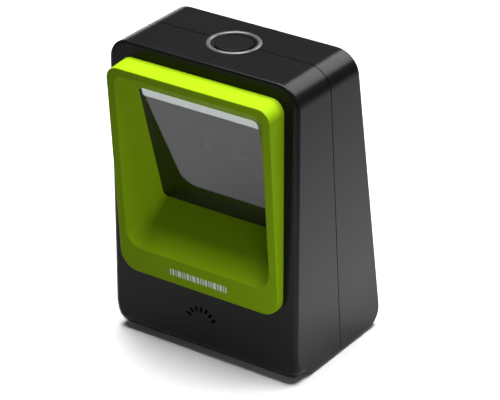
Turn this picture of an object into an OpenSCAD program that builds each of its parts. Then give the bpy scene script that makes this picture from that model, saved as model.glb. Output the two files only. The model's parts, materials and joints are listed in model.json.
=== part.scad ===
// Upright hands-free barcode scanner for a shop counter.
// +Z is up, the scan window faces -Y, and the origin is on the counter under the middle
// of the object. "Case coordinates" below have y = 0 on the flat front of the casing.

/* [Casing] */
// Width of the casing
body_w = 100; // [98:0.5:104]
// Height of the casing's top above the counter
body_h = 146; // [144:0.5:150]
// Depth of the casing across its top
depth_top = 47; // [45:0.5:50]
// Depth of the casing at its base
depth_base = 71.5; // [69:0.5:74]
// Wall thickness of both shells
wall = 2.4; // [2.2:0.1:2.6]
// Radius of the two top corners, seen from the front
top_corner_r = 11; // [9:0.5:12]
// Radius of the front upright edges
edge_r = 3; // [2:0.5:4]
// Radius under the front edge of the base
toe_r = 7; // [5:0.5:8]
// Radius under the rear edge of the base
heel_r = 8; // [6:0.5:9]
// Distance from the front face to the seam, at the top
seam_top = 24.8; // [24:0.1:26]
// Distance from the front face to the seam, at the base
seam_base = 37; // [36:0.5:38]

/* [Hood and window] */
// Half the width of the hood at the casing
hood_hw = 43.1; // [42:0.1:44]
// Lowest edge of the hood
hood_z0 = 34.3; // [33:0.1:36]
// Highest edge of the hood
hood_z1 = 138.9; // [137:0.1:139.5]
// Reach of the hood in front of the casing, at its top
hood_reach_top = 11.35; // [10:0.05:13]
// Reach of the hood in front of the casing, at its bottom
hood_reach_base = 3.3; // [3:0.1:4.5]
// Half the width of the recess at its mouth
mouth_hw = 38.7; // [38:0.1:39.5]
// Lowest edge of the recess mouth
mouth_z0 = 47.5; // [46.5:0.1:49]
// Highest edge of the recess mouth
mouth_z1 = 134.2; // [133:0.1:135]
// Half the side of the square window
pane_half = 31.4; // [30:0.1:32]
// Backward lean of the window's foot, in degrees
pane_tilt = 16; // [15:0.5:17]
// Height of the window's middle
pane_z = 97.2; // [96:0.1:98]
// Distance of the window's middle behind the front face
pane_y = 5.4; // [5:0.1:6]

/* [Trigger button] */
// Outer radius of the light ring
ring_r = 12.45; // [11:0.05:13]
// Radius of the button cap
cap_r = 10.05; // [9:0.05:10.1]
// Travel of the button
button_travel = 0.8; // [0.4:0.1:0.9]
// Distance of the button behind the front face
button_y = 25; // [24:0.5:26]

/* [Speaker] */
// Sideways place of the speaker
speaker_x = -1.3; // [-3:0.1:3]
// Height of the speaker's middle
speaker_z = 16.1; // [16:0.1:18]
// Number of slots in the fan
slot_count = 7; // [5:2:9]
// Radius from the speaker's middle to the middle of each slot
slot_radius = 7.65; // [7:0.05:8]

/* [Hidden] */

$fn = 64;
eps = 0.01;
far = 200;

// Casing
foot_h = 1;
base_z = foot_h;
side_edge_r = 2;
back_edge_r = 1.2;
rear_slope = atan((depth_base - depth_top) / (body_h - base_z));
groove_w = 0.5;
groove_d = 0.9;
lip_t = 1.2;
lip_reach = 3;
slack = 0.1;

function rear_y(z) = depth_base + (depth_top - depth_base) * (z - base_z) / (body_h - base_z);
function rear_in(z, inset) = rear_y(z) - inset / cos(rear_slope);
function seam_y(z) = seam_base + (seam_top - seam_base) * (z - base_z) / (body_h - base_z);

// The heel's arc is the rearmost thing, the hood's top edge the foremost.
heel_tangent = heel_r / tan((90 - rear_slope) / 2);
heel_y = depth_base - heel_tangent + heel_r;
front_y = (hood_reach_top - heel_y) / 2;

// Screws: thread radius, head radius, head height
m3 = [1.5, 2.8, 2.0];
m2 = [1.0, 1.9, 1.3];
m16 = [0.8, 1.5, 1.0];
thread_gap = 0.02;
case_screw_x = 44.2;
case_screw_z = [14, 126];
case_screw_l = 12;
case_boss_front_r = 2.8;
case_boss_rear_r = 4.3;
case_seat = 4.5;
counterbore_r = 3.1;

// Hood
hood_rt = 6.3;
hood_rb = 9;
hood_fall = 0.9;
mouth_rt = 4.3;
mouth_rb = 8;
skin_t = 2.2;
spigot_hw = 41.1;
spigot_z = [45.1, 133.4];
spigot_r = 4;
spigot_t = 1.2;
spigot_l = wall + 1.2;
bezel_screw_x = 28;
bezel_screw_low = 40;
bezel_screw_high = 136.3;
bezel_screw_l = 5;

// Window, in window coordinates: y runs inwards from the window's outer face
pane_t = 2;
pane_margin = 2;
glass_half = pane_half + pane_margin;
seat_half = glass_half + 2;
pane_r = 2.5;
seal_t = 0.8;
shroud_y0 = pane_t + seal_t;
shroud_y1 = 14;
shroud_wall = 1.8;
ear_x = 37.3;
ear_z = 26;
ear_r = 2.2;
flange_t = 2;
shelf_z = 24.4;

// Scan engine, in window coordinates
bracket_t = 1.2;
engine_y0 = shroud_y1 + bracket_t;
engine_l = 11;
engine_hw = 11.5;
engine_hh = 7.5;
barrel_r = 4.6;
lens_r = 3.4;

// Main board
board_y = 44;
board_t = 1.6;
board_hw = 30;
board_z = [12, 112];
post_x = 26;
post_z = [34, 106];
post_r = 2.6;

// Cable socket
socket_z = 20;
socket_w = 15.9;
socket_h = 13.5;
socket_y1 = 62.4;
jack_w = 11.7;
jack_h = 6.8;
jack_depth = 12.5;

// Button, from the top down
ring_top = body_h + 0.4;
cap_top = body_h - 0.1;
ring_in_r = cap_r + 0.3;
ring_flange_r = 14;
ceiling = body_h - wall;
cap_flange_z = ceiling - 1.4;
stem_z = ceiling - 3.5;
button_board_top = ceiling - 8;
switch_top = stem_z - 1;
plunger_r = 1.7;
plunger_gap = 0.05;
button_post = [17.5, 31.5];

// Speaker
speaker_r = 10.4;
slot_size = [1.0, 2.6];
slot_fan = 62;
pad_y = wall + 0.8;
clip_x = 14.6;
clip_y = pad_y + 6.2;
clip_t = 0.8;

// Marks on the lower rim: one entry per bar, its width in modules
mark_bars = [1, 2, 1, 3, 1, 1, 2, 1, 3, 2, 1, 1, 2, 1, 1, 3, 1, 2, 1, 1];
mark_module = 0.62;
mark_h = 3.2;
mark_z = 40.7;

// ---------------------------------------------------------------- helpers

module in_case() {
    translate([0, front_y, 0]) children();
}

// Window coordinates: x across, y inwards, z up along the glass
module in_window() {
    in_case() window_space() children();
}

module window_space() {
    translate([0, pane_y, pane_z]) rotate([pane_tilt, 0, 0]) children();
}

// A box given by two opposite corners
module box(low, high) {
    translate(low) cube(high - low);
}

// A cylinder along +Y that starts at p
module rod_y(p, r, l) {
    translate(p) rotate([-90, 0, 0]) cylinder(r = r, h = l);
}

// A shape drawn in X and Z, extruded from y0 to y1
module slab_y(y0, y1) {
    translate([0, y1, 0]) rotate([90, 0, 0]) linear_extrude(y1 - y0) children();
}

// A shape drawn in Y and Z, extruded from x0 to x1
module slab_x(x0, x1) {
    translate([x0, 0, 0]) rotate([90, 0, 90]) linear_extrude(x1 - x0) children();
}

// An upright panel whose top and bottom corners have their own radii
module panel(hw, z0, z1, rt, rb) {
    translate([-hw, z0 + rb]) square([2 * hw, z1 - rt - z0 - rb]);
    translate([-hw + rt, z0 + rb]) square([2 * (hw - rt), z1 - z0 - rb]);
    translate([-hw + rb, z0]) square([2 * (hw - rb), z1 - rt - z0]);
    for (side = [-1, 1]) {
        translate([side * (hw - rt), z1 - rt]) circle(rt);
        translate([side * (hw - rb), z0 + rb]) circle(rb);
    }
}

// A square frame in window coordinates
module window_frame(outer, inner, y0, y1) {
    difference() {
        box([-outer, y0, -outer], [outer, y1, outer]);
        box([-inner, y0 - 1, -inner], [inner, y1 + 1, inner]);
    }
}

// Unit vector, and the arc that rounds one corner of an outline
function unit(v) = v / norm(v);
function corner_arc(before, at, after, r, n) =
    let (
        a = unit(before - at),
        b = unit(after - at),
        half = acos(a * b) / 2,
        middle = at + unit(a + b) * r / sin(half),
        from = at + a * r / tan(half) - middle,
        to = at + b * r / tan(half) - middle,
        start = atan2(from[1], from[0]),
        turn = 180 - 2 * half,
        way = sign(from[0] * to[1] - from[1] * to[0])
    )
    [for (i = [0:n]) middle + r * [cos(start + way * turn * i / n), sin(start + way * turn * i / n)]];

function rounded(points, radii, n = 10) =
    let (k = len(points))
    [for (i = [0:k - 1]) each corner_arc(points[(i + k - 1) % k], points[i], points[(i + 1) % k],
        radii[i], n)];

// A cross-head screw whose head rests on z = 0 and whose thread goes down
module screw(size, length) {
    slot = size[1] * 0.3;
    reach = size[1] * 0.6;
    difference() {
        union() {
            translate([0, 0, -length]) cylinder(r = size[0], h = length + eps);
            cylinder(r = size[1], h = size[2]);
        }
        for (turn = [0, 90]) {
            rotate(turn)
                box([-reach, -slot / 2, size[2] / 2], [reach, slot / 2, size[2] + 1]);
        }
    }
}

// A flat strip that follows a side-view route
module flat_cable(x0, x1, route, t) {
    n = len(route);
    ways = [for (i = [0:n - 1]) unit(route[min(i + 1, n - 1)] - route[max(i - 1, 0)])];
    outside = [for (i = [0:n - 1]) route[i] + t / 2 * [-ways[i][1], ways[i][0]]];
    inside = [for (i = [n - 1:-1:0]) route[i] - t / 2 * [-ways[i][1], ways[i][0]]];
    slab_x(x0, x1) polygon(concat(outside, inside));
}

// A round wire through a list of points
module wire(route, r) {
    for (i = [0:len(route) - 2]) {
        hull() {
            translate(route[i]) sphere(r = r, $fn = 8);
            translate(route[i + 1]) sphere(r = r, $fn = 8);
        }
    }
}

// ---------------------------------------------------------------- casing

module side_outline(inset) {
    low = base_z + inset;
    high = body_h - inset;
    corners = [[inset, low], [rear_in(low, inset), low], [rear_in(high, inset), high], [inset, high]];
    radii = [for (r = [toe_r, heel_r, back_edge_r, back_edge_r]) max(r - inset, 0.3)];
    polygon(rounded(corners, radii));
}

module casing_solid(inset) {
    intersection() {
        slab_x(-body_w / 2, body_w / 2) side_outline(inset);
        slab_y(-1, depth_base + 1)
            panel(body_w / 2 - inset, base_z + inset, body_h - inset,
                top_corner_r - inset, max(side_edge_r - inset, 0.3));
        if (inset <= 0) {
            linear_extrude(far) plan_outline();
        }
    }
}

// Seen from above: only the two front upright edges are rounded
module plan_outline() {
    hw = body_w / 2;
    translate([-hw, edge_r]) square([body_w, depth_base]);
    translate([-hw + edge_r, 0]) square([body_w - 2 * edge_r, depth_base]);
    for (side = [-1, 1]) {
        translate([side * (hw - edge_r), edge_r]) circle(edge_r);
    }
}

// Everything before the seam plane moved by shift
module before_seam(shift) {
    slab_x(-far / 2, far / 2)
        polygon([[-far, 0], [seam_y(0) + shift, 0], [seam_y(far) + shift, far], [-far, far]]);
}

module behind_seam(shift) {
    slab_x(-far / 2, far / 2)
        polygon([[far, 0], [seam_y(0) + shift, 0], [seam_y(far) + shift, far], [far, far]]);
}

module seam_groove() {
    intersection() {
        before_seam(groove_w / 2);
        behind_seam(-groove_w / 2);
        difference() {
            box([-far / 2, -1, 0], [far / 2, far, far]);
            casing_solid(groove_d);
        }
    }
}

module at_case_screws() {
    for (side = [-1, 1], z = case_screw_z) {
        translate([side * case_screw_x, 0, z]) children();
    }
}

// A rib that ties a boss to the side wall
module boss_rib(y0, y1) {
    for (side = [-1, 1], z = case_screw_z) {
        x0 = side * case_screw_x;
        x1 = side * (body_w / 2 - 1);
        box([min(x0, x1), y0, z - 1], [max(x0, x1), y1, z + 1]);
    }
}

module foot_places() {
    for (side = [-1, 1], y = [13, 53]) {
        translate([side * 38, y, 0]) children();
    }
}

module speaker_slots() {
    for (i = [0:slot_count - 1]) {
        turn = -slot_fan + 2 * slot_fan * i / (slot_count - 1);
        translate([speaker_x, -1, speaker_z]) rotate([0, turn, 0])
            box([-slot_size[0] / 2, 0, slot_radius - slot_size[1] / 2],
                [slot_size[0] / 2, 2 * wall, slot_radius + slot_size[1] / 2]);
    }
}

module speaker_seat() {
    rod_y([speaker_x, wall - 0.3, speaker_z], speaker_r + 1.2, 4);
    for (side = [-1, 1]) {
        rod_y([speaker_x + side * clip_x, wall - 0.3, speaker_z], 2.2, clip_y - wall + 0.3);
    }
}

module speaker_seat_holes() {
    rod_y([speaker_x, wall, speaker_z], speaker_r - 1.3, 8);
    rod_y([speaker_x, pad_y, speaker_z], speaker_r + 0.1, 8);
    for (side = [-1, 1]) {
        rod_y([speaker_x + side * clip_x, wall + 1, speaker_z], m2[0] + thread_gap, 8);
    }
}

module ballast_posts() {
    for (side = [-1, 1]) {
        translate([side * 30, 22.5, base_z + wall]) children();
    }
}

module front_shell() {
    color([0.12, 0.12, 0.13])
    in_case() difference() {
        union() {
            intersection() {
                difference() {
                    casing_solid(0);
                    casing_solid(wall);
                }
                before_seam(0);
            }
            intersection() {
                union() {
                    at_case_screws() rod_y([0, wall / 2, 0], case_boss_front_r, far / 2);
                    boss_rib(wall / 2, far / 2);
                }
                before_seam(0);
            }
            intersection() {
                speaker_seat();
                casing_solid(wall / 2);
            }
        }
        seam_groove();
        slab_y(-1, wall + 1) panel(spigot_hw + slack, spigot_z[0] - slack, spigot_z[1] + slack,
            spigot_r, spigot_r);
        speaker_slots();
        speaker_seat_holes();
        at_case_screws() rod_y([0, wall + 4, 0], m3[0] + thread_gap, far / 2);
        bezel_screw_places() rod_y([0, -1, 0], m2[0] + slack, 2 * wall);
        translate([0, button_y, ceiling - 1]) cylinder(r = ring_r + 0.05, h = 2 * wall + 1);
        foot_places() cylinder(r = 5.1, h = base_z + 0.8);
        ballast_posts() translate([0, 0, -1.4]) cylinder(r = m2[0] + thread_gap, h = 3);
    }
}

// The tongue that the rear shell slides inside the front shell
module tongue() {
    difference() {
        intersection() {
            difference() {
                casing_solid(wall + slack);
                casing_solid(wall + slack + lip_t);
            }
            before_seam(eps);
            behind_seam(-lip_reach);
        }
        for (side = [-1, 1], z = case_screw_z) {
            translate([side * case_screw_x, 0, z]) box([-4, 0, -4], [8, far / 2, 4]);
        }
        translate([0, button_y, 0]) cylinder(r = ring_flange_r + 0.5, h = far);
    }
}

module socket_collar(grow) {
    hw = socket_w / 2 + 0.4 + grow;
    hh = socket_h / 2 + 0.4 + grow;
    box([-hw, socket_y1 - 4, socket_z - hh], [hw, depth_base + 1, socket_z + hh]);
}

module rear_shell() {
    color([0.13, 0.13, 0.14])
    in_case() difference() {
        union() {
            intersection() {
                difference() {
                    casing_solid(0);
                    casing_solid(wall);
                }
                behind_seam(0);
            }
            intersection() {
                difference() {
                    casing_solid(wall / 2);
                    casing_solid(wall + slack + lip_t);
                }
                behind_seam(0);
                before_seam(lip_reach);
            }
            tongue();
            intersection() {
                union() {
                    at_case_screws() rod_y([0, 0, 0], case_boss_rear_r, far / 2);
                    boss_rib(0, far / 2);
                    for (side = [-1, 1], z = post_z) {
                        rod_y([side * post_x, board_y + board_t, z], post_r, far / 4);
                    }
                    socket_collar(1.6);
                    for (side = [-1, 1]) {
                        translate([side * button_post[0], button_post[1], button_board_top])
                            cylinder(r = 2.2, h = far / 8);
                    }
                }
                behind_seam(0);
                casing_solid(wall / 2);
            }
        }
        seam_groove();
        socket_collar(0);
        for (side = [-1, 1], z = case_screw_z) {
            seat = seam_y(z) + case_seat;
            rod_y([side * case_screw_x, 0, z], m3[0] + slack, far / 2);
            rod_y([side * case_screw_x, seat, z], counterbore_r, far / 2);
        }
        for (side = [-1, 1], z = post_z) {
            rod_y([side * post_x, board_y, z], m2[0] + thread_gap, 5.4);
        }
        for (side = [-1, 1]) {
            translate([side * button_post[0], button_post[1], button_board_top - 1])
                cylinder(r = m2[0] + thread_gap, h = 6);
        }
        translate([0, button_y, ceiling - 1]) cylinder(r = ring_r + 0.05, h = 2 * wall + 1);
        translate([0, button_y, button_board_top])
            cylinder(r = ring_flange_r + 0.5, h = ceiling - button_board_top);
        foot_places() cylinder(r = 5.1, h = base_z + 0.8);
    }
}

module case_screws() {
    color("dimgray")
    in_case() for (side = [-1, 1], z = case_screw_z) {
        translate([side * case_screw_x, seam_y(z) + case_seat, z]) rotate([-90, 0, 0])
            screw(m3, case_screw_l);
    }
}

module rubber_feet() {
    color([0.08, 0.08, 0.08])
    in_case() foot_places() {
        cylinder(r1 = 4.6, r2 = 5, h = 0.5);
        translate([0, 0, 0.5]) cylinder(r = 5, h = base_z + 0.3);
    }
}

module ballast_plate() {
    color("lightslategray")
    in_case() difference() {
        box([-38, 13.5, base_z + wall], [38, 32, base_z + wall + 5]);
        ballast_posts() translate([0, 0, -1]) cylinder(r = m2[0] + slack, h = 8);
    }
}

module ballast_screws() {
    color("silver")
    in_case() ballast_posts() translate([0, 0, 5]) screw(m2, 6.2);
}

// ---------------------------------------------------------------- hood

module bezel_screw_places() {
    for (side = [-1, 1], z = [bezel_screw_low, bezel_screw_high]) {
        translate([side * bezel_screw_x, 0, z]) children();
    }
}

// The hood leans forward: its face runs between these two points
hood_low = [-hood_reach_base, hood_z0 + 0.3];
hood_high = [-hood_reach_top, hood_z1 - hood_fall];
hood_lean = atan((hood_low[0] - hood_high[0]) / (hood_high[1] - hood_low[1]));

// Hood coordinates: y = 0 on the leaning face, z up along it from the hood's foot
module hood_space() {
    translate([0, hood_low[0], hood_low[1]]) rotate([hood_lean, 0, 0]) children();
}

function along_hood(z) = (z - hood_low[1]) / cos(hood_lean);

module hood_block() {
    intersection() {
        slab_y(-far / 4, 0) panel(hood_hw, hood_z0, hood_z1, hood_rt, hood_rb);
        slab_x(-far / 2, far / 2)
            polygon([[0, hood_z0], hood_low, hood_high, [0, hood_z1]]);
    }
}

module recess_void() {
    hull() {
        hood_space() slab_y(-0.6, 0.2)
            panel(mouth_hw, along_hood(mouth_z0), along_hood(mouth_z1), mouth_rt, mouth_rb, $fn = 32);
        window_space() slab_y(-0.6, 0.3)
            panel(pane_half, -pane_half, pane_half, pane_r, pane_r, $fn = 32);
    }
}

module recess_skin() {
    hull() {
        hood_space() slab_y(1, 1.2)
            panel(mouth_hw + 1.6, along_hood(mouth_z0) - 1.2, along_hood(mouth_z1) + 1, mouth_rt, mouth_rb,
                $fn = 32);
        window_space() slab_y(-skin_t, -skin_t / 2)
            panel(pane_half + skin_t, -pane_half - skin_t, pane_half + skin_t, pane_r, pane_r, $fn = 32);
    }
}

// Round ears beside the window, each with a tab that joins it to the frame
module ears(r, y0, l) {
    for (side = [-1, 1], z = [-ear_z, ear_z]) {
        rod_y([side * ear_x, y0, z], r, l);
    }
}

module ear_tabs(r, y0, l) {
    for (z = [-ear_z, ear_z]) {
        box([-ear_x, y0, z - r], [ear_x, y0 + l, z + r]);
    }
}

module hood_bezel() {
    pocket = glass_half + slack;
    seat = seat_half + 0.2;
    color([0.42, 0.6, 0.02])
    in_case() difference() {
        union() {
            hood_block();
            slab_y(-1, spigot_l) panel(spigot_hw, spigot_z[0], spigot_z[1], spigot_r, spigot_r);
            recess_skin();
            window_space() {
                box([-seat_half - 1, -skin_t, -seat_half], [seat_half + 1, 0, seat_half]);
                box([-seat_half, -1, -seat_half], [seat_half, shroud_y0, seat_half]);
                ears(ear_r, -skin_t, skin_t + shroud_y0);
            }
        }
        recess_void();
        window_space() {
            box([-pocket, 0, -pocket], [pocket, far / 4, pocket]);
            box([-seat, shroud_y0, -seat], [seat, far / 4, seat]);
            ears(m16[0] + thread_gap, -0.8, 8);
            ears(ear_r + 0.4, shroud_y0, far / 4);
            ear_tabs(ear_r + 0.4, shroud_y0, far / 4);
        }
        behind_spigot();
        bezel_screw_places() rod_y([0, wall - bezel_screw_l - 0.1, 0], m2[0] + thread_gap, far / 4);
    }
}

// The hollow inside the spigot, around the recess and its window seat
module behind_spigot() {
    difference() {
        slab_y(0.8, far / 4) panel(spigot_hw - spigot_t, spigot_z[0] + spigot_t, spigot_z[1] - spigot_t,
            spigot_r - spigot_t, spigot_r - spigot_t);
        recess_skin();
        window_space() {
            box([-seat_half - 1, -skin_t, -seat_half], [seat_half + 1, shroud_y0, seat_half]);
            ears(ear_r, -skin_t, skin_t + shroud_y0);
        }
    }
}

module bezel_screws() {
    color("silver")
    in_case() bezel_screw_places() translate([0, wall, 0]) rotate([-90, 0, 0]) screw(m2, bezel_screw_l);
}

// A plain row of bars printed on the lower rim
module rim_mark() {
    function before(i) = i == 0 ? 0 : before(i - 1) + mark_bars[i - 1] + 1;
    span = (before(len(mark_bars) - 1) + mark_bars[len(mark_bars) - 1]) * mark_module;
    color([0.8, 0.82, 0.8])
    in_case() hood_space() for (i = [0:len(mark_bars) - 1]) {
        translate([before(i) * mark_module - span / 2, -0.06, along_hood(mark_z) - mark_h / 2])
            cube([mark_bars[i] * mark_module * 0.9, 0.06, mark_h]);
    }
}

// ---------------------------------------------------------------- window

module window_glass() {
    color([0.25, 0.28, 0.3])
    in_window() slab_y(0, pane_t) panel(glass_half, -glass_half, glass_half, 1, 1);
}

module window_gasket() {
    color([0.05, 0.05, 0.05])
    in_window() window_frame(glass_half - slack, pane_half + 0.3, pane_t, shroud_y0);
}

module light_shroud() {
    outer = glass_half;
    inner = glass_half - shroud_wall;
    color([0.07, 0.07, 0.07])
    in_window() difference() {
        union() {
            box([-seat_half, shroud_y0, -seat_half], [seat_half, shroud_y0 + flange_t, seat_half]);
            box([-outer, shroud_y0, -outer], [outer, shroud_y1, outer]);
            ears(ear_r, shroud_y0, flange_t);
            ear_tabs(ear_r, shroud_y0, flange_t);
        }
        difference() {
            box([-inner, 0, -inner], [inner, shroud_y1 - 2, inner]);
            box([-outer, 0, shelf_z], [outer, 10.2, shelf_z + 1]);
        }
        box([-13, 0, -8.5], [13, far / 4, 8.5]);
        box([-25, 10, 27], [-17, far / 4, 29]);
        ears(m16[0] + slack, 0, 8);
        bracket_holes(m16[0] + thread_gap);
    }
}

module shroud_screws() {
    color("silver")
    in_window() for (side = [-1, 1], z = [-ear_z, ear_z]) {
        translate([side * ear_x, shroud_y0 + flange_t, z]) rotate([-90, 0, 0]) screw(m16, 5);
    }
}

module light_diffuser() {
    color([0.85, 0.87, 0.85])
    in_window() slab_y(shroud_y0 + 0.1, shroud_y0 + 2.6)
        panel(pane_half, shelf_z + 1, pane_half, 0.8, 0.8);
}

module led_board() {
    color("darkgreen")
    in_window() box([-pane_half, 9, shelf_z + 1], [pane_half, 10.2, pane_half]);
}

module window_leds() {
    color("lightyellow")
    in_window() for (i = [-2.5:1:2.5]) {
        translate([i * 10, 8, shelf_z + 4]) box([-1.4, 0, -1.4], [1.4, 1, 1.4]);
    }
}

module led_cable() {
    color("white")
    in_case() flat_cable(-24, -18, [[7.9, 127.1], [13, 128.5], [21, 129.5], [30, 127], [38, 118],
        [42.5, 109], [43.4, 101]], 0.3);
}

// ---------------------------------------------------------------- scan engine

module bracket_holes(r) {
    for (side = [-1, 1]) {
        rod_y([side * 15.5, 0, 0], r, far / 4);
        for (z = [-9.5, 9.5]) {
            rod_y([side * 16.5, 0, z], r, far / 4);
        }
    }
}

module engine_bracket() {
    color("gainsboro")
    in_window() difference() {
        union() {
            box([-19, shroud_y1, -12], [19, engine_y0, 12]);
            for (side = [-1, 1]) {
                box([-14, shroud_y1, side * 12 - 0.6], [14, engine_y0 + 5, side * 12 + 0.6]);
            }
        }
        box([-11, 0, -6], [11, far / 4, 6]);
        bracket_holes(m16[0] + slack);
    }
}

module bracket_screws() {
    color("silver")
    in_window() for (x = [-16.5, 16.5], z = [-9.5, 9.5]) {
        translate([x, engine_y0, z]) rotate([-90, 0, 0]) screw(m16, 3);
    }
}

module engine_housing() {
    color([0.2, 0.2, 0.22])
    in_window() difference() {
        union() {
            box([-engine_hw, engine_y0, -engine_hh], [engine_hw, engine_y0 + engine_l, engine_hh]);
            box([-18, engine_y0, -3], [18, engine_y0 + 2, 3]);
        }
        for (side = [-1, 1]) {
            rod_y([side * 15.5, 0, 0], m16[0] + slack, far / 4);
            box([side * engine_hw - 0.6, engine_y0 + 4, -4], [side * engine_hw + 0.6, engine_y0 + 9, 4]);
        }
    }
}

module engine_screws() {
    color("silver")
    in_window() for (side = [-1, 1]) {
        translate([side * 15.5, engine_y0 + 2, 0]) rotate([-90, 0, 0]) screw(m16, 5);
    }
}

module lens_barrel() {
    color([0.1, 0.1, 0.1])
    in_window() difference() {
        union() {
            rod_y([0, 8.5, 0], barrel_r, engine_y0 - 8.5);
            rod_y([0, 12.5, 0], barrel_r + 0.8, engine_y0 - 12.5);
        }
        rod_y([0, 8, 0], lens_r, 3);
        rod_y([0, 8, 0], lens_r - 0.8, 6);
    }
}

module engine_lens() {
    color([0.35, 0.3, 0.5])
    in_window() rod_y([0, 9.4, 0], lens_r - 0.02, 1.58);
}

module aimer() {
    color([0.6, 0.1, 0.1])
    in_window() translate([8, 0, 0]) {
        rod_y([0, 12, 0], 2, engine_y0 - 12);
        rod_y([0, 11, 0], 1.4, 1);
    }
}

module engine_leds() {
    color("lightyellow")
    in_window() for (z = [-3, 3]) {
        translate([-8, 0, z]) {
            box([-1.5, engine_y0 - 1, -1.5], [1.5, engine_y0, 1.5]);
            rod_y([0, engine_y0 - 1.4, 0], 1.1, 0.4);
        }
    }
}

module engine_board() {
    color("darkgreen")
    in_window() {
        box([-11, engine_y0 + engine_l, -7.2], [11, engine_y0 + engine_l + 1.2, 7.2]);
        box([-7, engine_y0 + engine_l + 1.2, -2], [7, engine_y0 + engine_l + 2.7, 2]);
    }
}

module engine_cable() {
    color("white")
    in_case() flat_cable(-6, 6, [[33.4, 105.3], [36.5, 104.5], [39, 100], [40.6, 92], [42.2, 85],
        [42.7, 80]], 0.3);
}

// ---------------------------------------------------------------- trigger button

module at_button() {
    in_case() translate([0, button_y, 0]) children();
}

module button_ring() {
    color([0.6, 0.61, 0.62])
    at_button() rotate_extrude($fn = 96) polygon([
        [ring_in_r, ceiling - 1.2], [ring_flange_r, ceiling - 1.2], [ring_flange_r, ceiling],
        [ring_r, ceiling], [ring_r, ring_top - 0.4], [ring_r - 0.4, ring_top],
        [ring_in_r + 0.4, ring_top], [ring_in_r, ring_top - 0.4]]);
}

module button_cap() {
    color([0.06, 0.06, 0.06])
    at_button() rotate_extrude($fn = 96) polygon([
        [0, stem_z], [2.2, stem_z], [2.2, cap_top - 1.6], [cap_r - 1.4, cap_top - 1.6],
        [cap_r - 1.4, cap_flange_z - 0.9], [cap_r + 0.95, cap_flange_z - 0.9],
        [cap_r + 0.95, cap_flange_z], [cap_r, cap_flange_z], [cap_r, cap_top - 0.3],
        [cap_r - 0.3, cap_top], [0, cap_top]]);
}

module button_board() {
    color("darkgreen")
    in_case() difference() {
        box([-21, 13, button_board_top - 1.6], [21, 34.5, button_board_top]);
        for (side = [-1, 1]) {
            translate([side * button_post[0], button_post[1], button_board_top - 3])
                cylinder(r = m2[0] + slack, h = 4);
        }
    }
}

module button_screws() {
    color("silver")
    in_case() for (side = [-1, 1]) {
        translate([side * button_post[0], button_post[1], button_board_top - 1.6]) rotate([180, 0, 0])
            screw(m2, 5);
    }
}

module switch_body() {
    color([0.15, 0.15, 0.15])
    at_button() difference() {
        box([-3, -3, button_board_top], [3, 3, switch_top]);
        translate([0, 0, button_board_top + 0.2]) cylinder(r = plunger_r + plunger_gap, h = 9);
    }
}

module switch_plunger() {
    color("goldenrod")
    at_button() translate([0, 0, button_board_top + 0.4 + button_travel])
        cylinder(r = plunger_r, h = stem_z - button_board_top - 0.4 - button_travel);
}

module ring_leds() {
    color("lightyellow")
    at_button() for (turn = [45:90:315]) {
        rotate(turn) translate([9.6, 0, button_board_top]) box([-1, -0.8, 0], [1, 0.8, 0.8]);
    }
}

module button_cable() {
    color("white")
    in_case() flat_cable(8, 14, [[33, 133.8], [35.5, 131], [38.5, 124], [41.5, 115], [43.3, 107],
        [43.6, 101]], 0.3);
}

// ---------------------------------------------------------------- main board

module main_board() {
    color("darkgreen")
    in_case() difference() {
        box([-board_hw, board_y, board_z[0]], [board_hw, board_y + board_t, board_z[1]]);
        for (side = [-1, 1], z = post_z) {
            rod_y([side * post_x, board_y - 1, z], m2[0] + slack, 4);
        }
    }
}

module board_screws() {
    color("silver")
    in_case() for (side = [-1, 1], z = post_z) {
        translate([side * post_x, board_y, z]) rotate([90, 0, 0]) screw(m2, 5);
    }
}

module processor_shield() {
    color("silver")
    in_case() difference() {
        box([-14, board_y - 2.6, 46], [14, board_y, 70]);
        box([-13.6, board_y - 2.2, 46.4], [13.6, board_y + 1, 69.6]);
    }
}

// Chips, connectors and capacitors soldered on the board's front
module board_parts() {
    color([0.1, 0.1, 0.1])
    in_case() {
        for (chip = [[-20, 60, 9, 11], [20, 52, 8, 8], [-20, 82, 7, 7], [20, 74, 12, 6]]) {
            box([chip[0] - chip[2] / 2, board_y - 1.2, chip[1] - chip[3] / 2],
                [chip[0] + chip[2] / 2, board_y, chip[1] + chip[3] / 2]);
        }
        for (plug = [[0, 78, 14], [-21, 99, 8], [11, 99, 8], [-13, 28, 7]]) {
            box([plug[0] - plug[2] / 2, board_y - 1.2, plug[1] - 2.2],
                [plug[0] + plug[2] / 2, board_y, plug[1] - 0.2]);
        }
        for (x = [8, 15]) {
            rod_y([x, board_y - 5.5, 36], 2.6, 5.5);
        }
    }
}

module cable_socket() {
    hw = socket_w / 2;
    hh = socket_h / 2;
    color([0.16, 0.16, 0.17])
    in_case() difference() {
        box([-hw, board_y + board_t, socket_z - hh], [hw, socket_y1, socket_z + hh]);
        box([-jack_w / 2, socket_y1 - jack_depth, socket_z - jack_h / 2],
            [jack_w / 2, socket_y1 + 1, socket_z + jack_h / 2]);
        box([-3.2, socket_y1 - jack_depth, socket_z - jack_h / 2 - 1.6],
            [3.2, socket_y1 + 1, socket_z]);
    }
}

module socket_contacts() {
    color("gold")
    in_case() for (i = [-4.5:1:4.5]) {
        translate([i * 1.02, socket_y1 - jack_depth, socket_z + jack_h / 2 - 0.7])
            cube([0.4, 9, 0.35], center = false);
    }
}

// ---------------------------------------------------------------- speaker

module at_speaker() {
    in_case() translate([speaker_x, 0, speaker_z]) children();
}

module speaker_gasket() {
    color([0.05, 0.05, 0.05])
    at_speaker() difference() {
        rod_y([0, pad_y, 0], speaker_r, 0.8);
        rod_y([0, pad_y - 1, 0], speaker_r - 1.3, 3);
    }
}

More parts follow.
